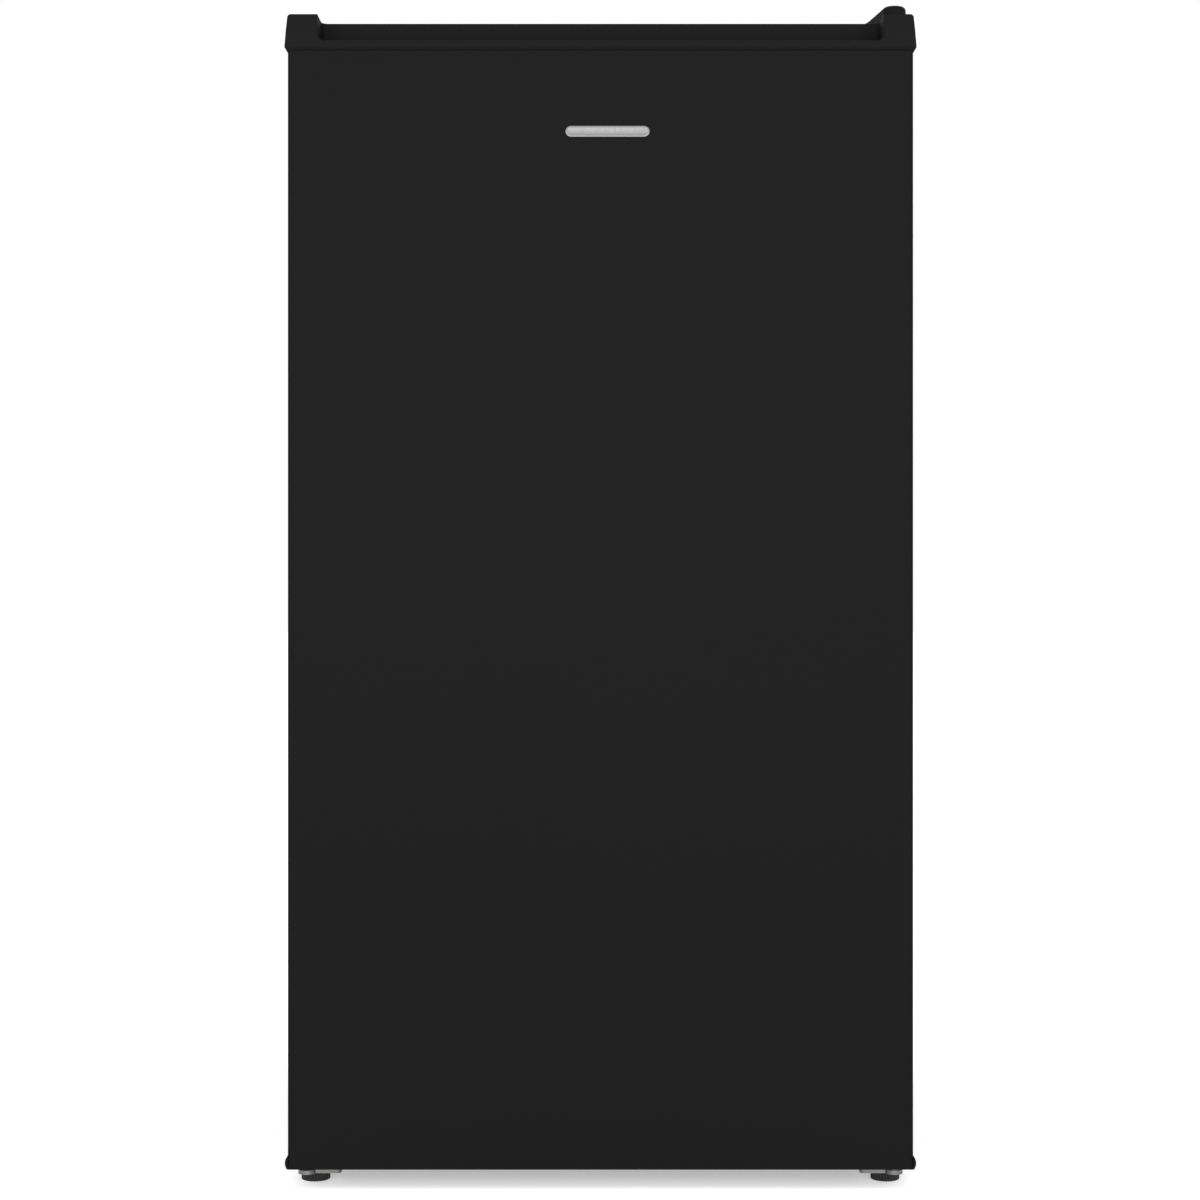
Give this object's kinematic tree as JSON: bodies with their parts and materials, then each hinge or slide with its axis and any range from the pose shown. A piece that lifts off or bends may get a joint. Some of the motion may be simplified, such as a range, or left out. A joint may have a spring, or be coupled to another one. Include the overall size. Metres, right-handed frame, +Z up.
{
  "type": "mini fridge",
  "caption": "Free-standing black mini fridge with a right-hung door, a finger trough along the door's top, a freezer box, shelves, a salad drawer, door racks and levelling feet.",
  "frame": {"origin": "on the floor, at the centre of the fridge's footprint", "axes": "+Z up, -Y out of the door's face, +X to the right of someone facing the door"},
  "size_m": [0.449, 0.48, 0.845],
  "materials": {
    "black_painted_steel": "satin",
    "black_abs": "satin",
    "white_polystyrene": "satin",
    "clear_polystyrene": "gloss",
    "seal_rubber": "matte",
    "shelf_glass": "gloss",
    "zinc_plated_steel": "satin",
    "galvanised_steel": "satin",
    "nylon": "satin",
    "rigid_foam": "matte",
    "aluminium_sheet": "satin",
    "black_enamel": "gloss",
    "copper_tube": "satin",
    "black_rubber": "matte",
    "satin_badge": "satin",
    "lamp_lens": "gloss"
  },
  "bodies": {
    "cabinet": {"back_panel": "galvanised_steel", "back_panel_screws": "zinc_plated_steel", "bottom_hinge_bracket": "zinc_plated_steel", "bottom_hinge_pin": "zinc_plated_steel", "bottom_panel": "black_painted_steel", "bracket_screws": "zinc_plated_steel", "cabinet_foam": "rigid_foam", "compressor": "black_enamel", "compressor_bay_plate": "galvanised_steel", "compressor_grommets": "black_rubber", "compressor_plate": "galvanised_steel", "condenser_clips": "black_abs", "condenser_tube": "black_enamel", "condenser_wires": "black_enamel", "cord_gland": "black_abs", "drain_tube": "white_polystyrene", "evaporating_tray": "black_abs", "evaporator_box": "aluminium_sheet", "evaporator_hangers": "white_polystyrene", "filter_drier": "copper_tube", "freezer_front_frame": "white_polystyrene", "inner_liner": "white_polystyrene", "lamp_lens": "lamp_lens", "left_foot_bracket": "zinc_plated_steel", "left_side_panel": "black_painted_steel", "rear_feet": "black_abs", "refrigerant_tubes": "copper_tube", "right_side_panel": "black_painted_steel", "spare_hinge_plugs": "black_abs", "terminal_cover": "black_abs", "thermostat_housing": "white_polystyrene", "top_hinge_cover": "black_abs", "top_hinge_pin": "zinc_plated_steel", "top_hinge_plate": "zinc_plated_steel", "top_hinge_screws": "zinc_plated_steel", "top_panel": "black_painted_steel", "wall_spacers": "black_abs"},
    "crisper_drawer": {"crisper_drawer": "clear_polystyrene"},
    "freezer_flap": {"freezer_flap": "white_polystyrene"},
    "drip_tray": {"drip_tray": "white_polystyrene"},
    "upper_shelf": {"upper_shelf_glass": "shelf_glass", "upper_shelf_trims": "white_polystyrene"},
    "crisper_cover": {"crisper_cover_glass": "shelf_glass", "crisper_cover_trims": "white_polystyrene"},
    "thermostat_knob": {"thermostat_knob": "white_polystyrene"},
    "left_front_foot": {"left_front_foot": "black_abs"},
    "right_front_foot": {"right_front_foot": "black_abs"},
    "door": {"door_panel": "black_painted_steel", "door_top_cap": "black_abs", "door_bottom_cap": "black_abs", "hinge_bushes": "nylon", "door_liner": "white_polystyrene", "door_gasket": "seal_rubber", "gasket_magnets": "black_rubber", "badge": "satin_badge", "door_foam": "rigid_foam"},
    "upper_door_rack": {"upper_door_rack": "clear_polystyrene"},
    "middle_door_rack": {"middle_door_rack": "clear_polystyrene"},
    "bottle_rack": {"bottle_rack": "clear_polystyrene"}
  },
  "joints": [
    {"name": "door_hinge", "type": "hinge", "parent": "cabinet", "child": "door", "pos_m": [0.211, -0.218, 0.42], "axis": [0, 0, 1], "range_deg": [0, 115]},
    {"name": "crisper_slide", "type": "slide", "parent": "cabinet", "child": "crisper_drawer", "axis": [0, -1, 0], "range_m": [0, 0.12]},
    {"name": "freezer_flap_hinge", "type": "hinge", "parent": "cabinet", "child": "freezer_flap", "pos_m": [0, -0.0625, 0.7765], "axis": [-1, 0, 0], "range_deg": [0, 85]},
    {"name": "drip_tray_slide", "type": "slide", "parent": "cabinet", "child": "drip_tray", "axis": [0, -1, 0], "range_m": [0, 0.085]},
    {"name": "upper_shelf_lift", "type": "slide", "parent": "cabinet", "child": "upper_shelf", "axis": [0, 0, 1], "range_m": [0, 0.012]},
    {"name": "crisper_cover_lift", "type": "slide", "parent": "cabinet", "child": "crisper_cover", "axis": [0, 0, 1], "range_m": [0, 0.012]},
    {"name": "thermostat_turn", "type": "hinge", "parent": "cabinet", "child": "thermostat_knob", "pos_m": [0.15, -0.062, 0.597], "axis": [1, 0, 0], "range_deg": [0, 270]},
    {"name": "left_foot_turn", "type": "hinge", "parent": "cabinet", "child": "left_front_foot", "pos_m": [-0.206, -0.206, 0.008], "axis": [0, 0, 1], "range_deg": [0, 360]},
    {"name": "right_foot_turn", "type": "hinge", "parent": "cabinet", "child": "right_front_foot", "pos_m": [0.206, -0.206, 0.008], "axis": [0, 0, 1], "range_deg": [0, 360]},
    {"name": "upper_rack_lift", "type": "slide", "parent": "door", "child": "upper_door_rack", "axis": [0, 0, 1], "range_m": [0, 0.025]},
    {"name": "middle_rack_lift", "type": "slide", "parent": "door", "child": "middle_door_rack", "axis": [0, 0, 1], "range_m": [0, 0.025]},
    {"name": "bottle_rack_lift", "type": "slide", "parent": "door", "child": "bottle_rack", "axis": [0, 0, 1], "range_m": [0, 0.025]}
  ],
  "couplings": [
    {"joint": "crisper_slide", "follows": "door_hinge", "m_per_rad": 0.059786}
  ]
}
